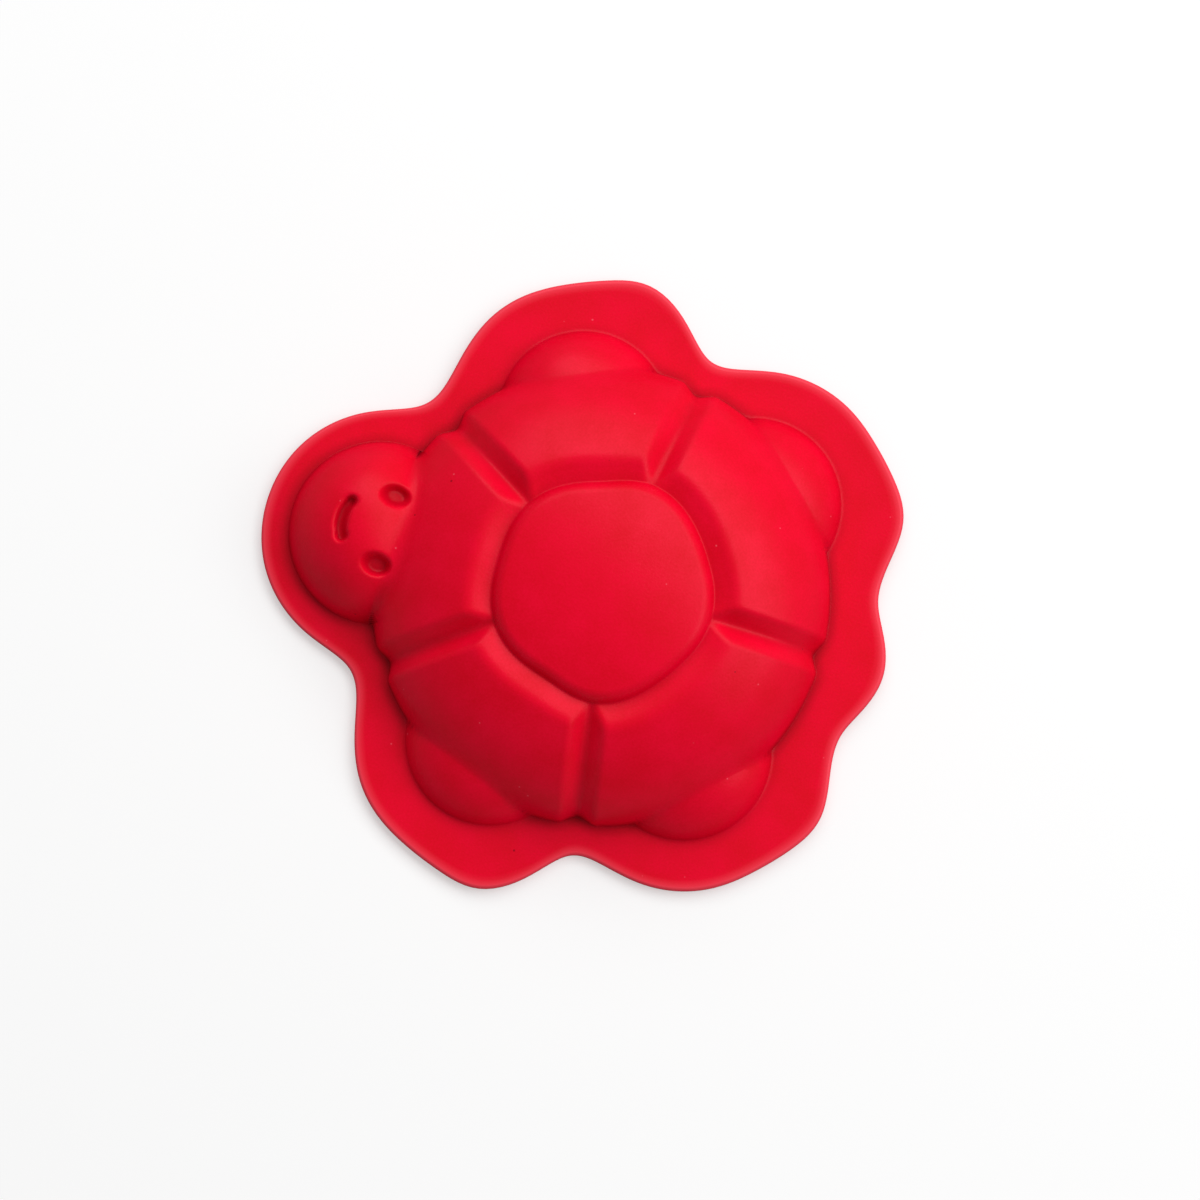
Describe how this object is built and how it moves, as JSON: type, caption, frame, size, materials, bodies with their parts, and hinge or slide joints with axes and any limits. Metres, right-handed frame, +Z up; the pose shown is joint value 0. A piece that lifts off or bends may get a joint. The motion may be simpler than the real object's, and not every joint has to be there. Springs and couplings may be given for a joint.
{
  "type": "sand mould",
  "caption": "Turtle-shaped sand mould in soft silicone: a thin wavy rim round an open hollow that shapes packed sand into shell, head and flippers.",
  "frame": {"origin": "middle of the rim's outline, on the rim's flat underside", "axes": "+X towards the turtle's head, +Z up through the crown of the shell, +Y to the turtle's left"},
  "size_m": [0.12, 0.1178, 0.0234],
  "materials": {
    "red_silicone": "matt with a fine blasted grain"
  },
  "bodies": {
    "root": {"mould_body": "red_silicone"}
  },
  "joints": []
}
